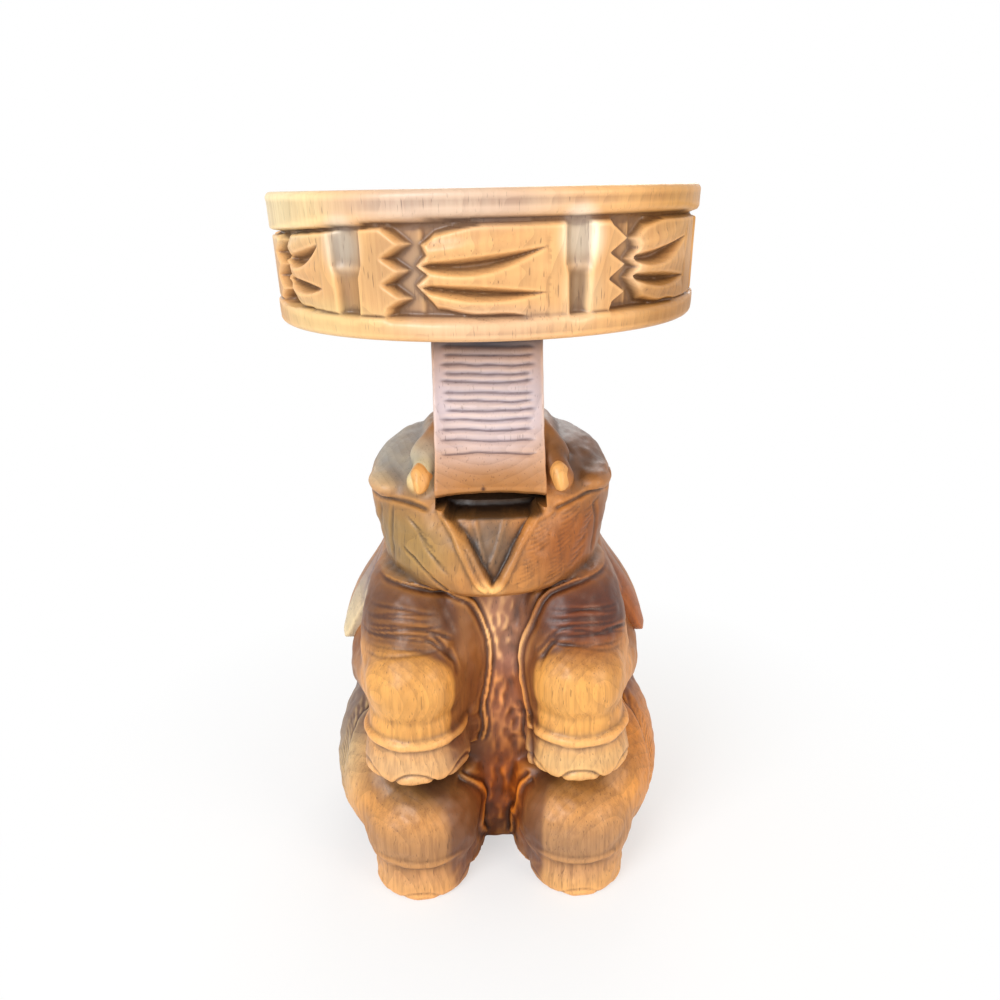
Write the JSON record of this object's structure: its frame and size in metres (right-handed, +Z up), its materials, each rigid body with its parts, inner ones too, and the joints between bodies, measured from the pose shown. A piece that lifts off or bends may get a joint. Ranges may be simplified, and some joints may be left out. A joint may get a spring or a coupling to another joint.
{
  "type": "carved elephant stool",
  "caption": "Round wooden stool whose thick carved seat stands on the raised trunk of a sitting elephant.",
  "frame": {"origin": "on the floor under the middle of the seat", "axes": "+Z up, the elephant faces -Y, +X to the right seen from the front"},
  "size_m": [0.3035, 0.3034, 0.508],
  "materials": {
    "seat_wood": "satin lacquer",
    "trunk_wood": "satin lacquer",
    "head_wood": "satin lacquer",
    "tusk_wood": "satin lacquer",
    "ear_wood": "satin lacquer",
    "body_wood": "satin lacquer",
    "belly_wood": "satin lacquer",
    "leg_wood": "satin lacquer",
    "dowel_wood": "bare"
  },
  "bodies": {
    "root": {"seat_drum": "seat_wood", "trunk": "trunk_wood", "brow_right": "head_wood", "brow_left": "head_wood", "tusk_right": "tusk_wood", "tusk_left": "tusk_wood", "jaw": "head_wood", "ear_right": "ear_wood", "ear_left": "ear_wood", "torso": "body_wood", "belly_strip": "belly_wood", "foreleg_right": "leg_wood", "foreleg_left": "leg_wood", "hind_leg_right": "leg_wood", "hind_leg_left": "leg_wood", "seat_dowels": "dowel_wood", "trunk_dowels": "dowel_wood", "brow_dowels": "dowel_wood", "neck_dowels": "dowel_wood", "foreleg_dowels": "dowel_wood", "hind_leg_dowels": "dowel_wood", "ear_dowels": "dowel_wood"}
  },
  "joints": []
}
